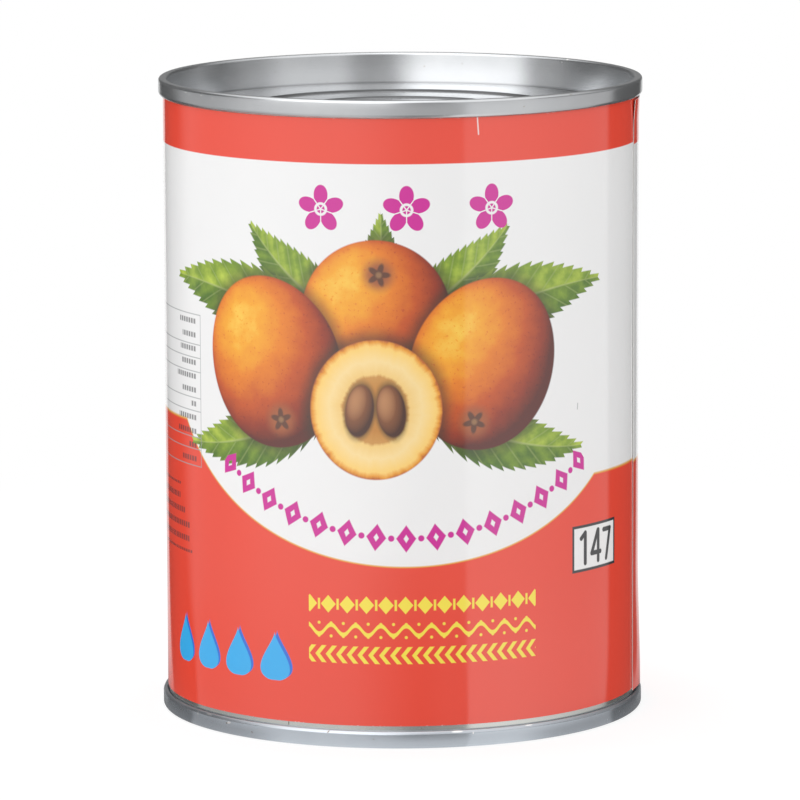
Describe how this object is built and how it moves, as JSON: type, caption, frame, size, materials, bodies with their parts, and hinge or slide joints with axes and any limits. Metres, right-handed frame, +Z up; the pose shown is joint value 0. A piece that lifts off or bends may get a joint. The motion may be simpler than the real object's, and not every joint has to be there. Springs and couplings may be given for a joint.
{
  "type": "food can",
  "caption": "Sealed three-piece tinplate food can with double-seamed ends and a wrap-round paper label, holding peeled and cored fruit in syrup.",
  "frame": {"origin": "on the can's axis, in the plane of the bottom seam that it stands on", "axes": "+Z up along the can's axis; -Y towards the middle of the label's front; +X towards the label's lap"},
  "size_m": [0.086, 0.086, 0.113],
  "materials": {
    "tinplate_body": "satin",
    "tinplate_end": "satin",
    "sealing_compound": "matte",
    "label_paper": "gloss",
    "label_glue": "satin",
    "loquat_flesh": "satin",
    "light_syrup": "gloss"
  },
  "bodies": {
    "root": {"can_body": "tinplate_body", "top_end": "tinplate_end", "bottom_end": "tinplate_end", "top_seal": "sealing_compound", "bottom_seal": "sealing_compound", "label": "label_paper", "pickup_glue": "label_glue", "lap_glue": "label_glue", "loquat_01": "loquat_flesh", "loquat_02": "loquat_flesh", "loquat_03": "loquat_flesh", "loquat_04": "loquat_flesh", "loquat_05": "loquat_flesh", "loquat_06": "loquat_flesh", "loquat_07": "loquat_flesh", "loquat_08": "loquat_flesh", "loquat_09": "loquat_flesh", "loquat_10": "loquat_flesh", "loquat_11": "loquat_flesh", "loquat_12": "loquat_flesh", "loquat_13": "loquat_flesh", "loquat_14": "loquat_flesh", "loquat_15": "loquat_flesh", "loquat_16": "loquat_flesh", "loquat_17": "loquat_flesh", "syrup": "light_syrup"}
  },
  "joints": []
}
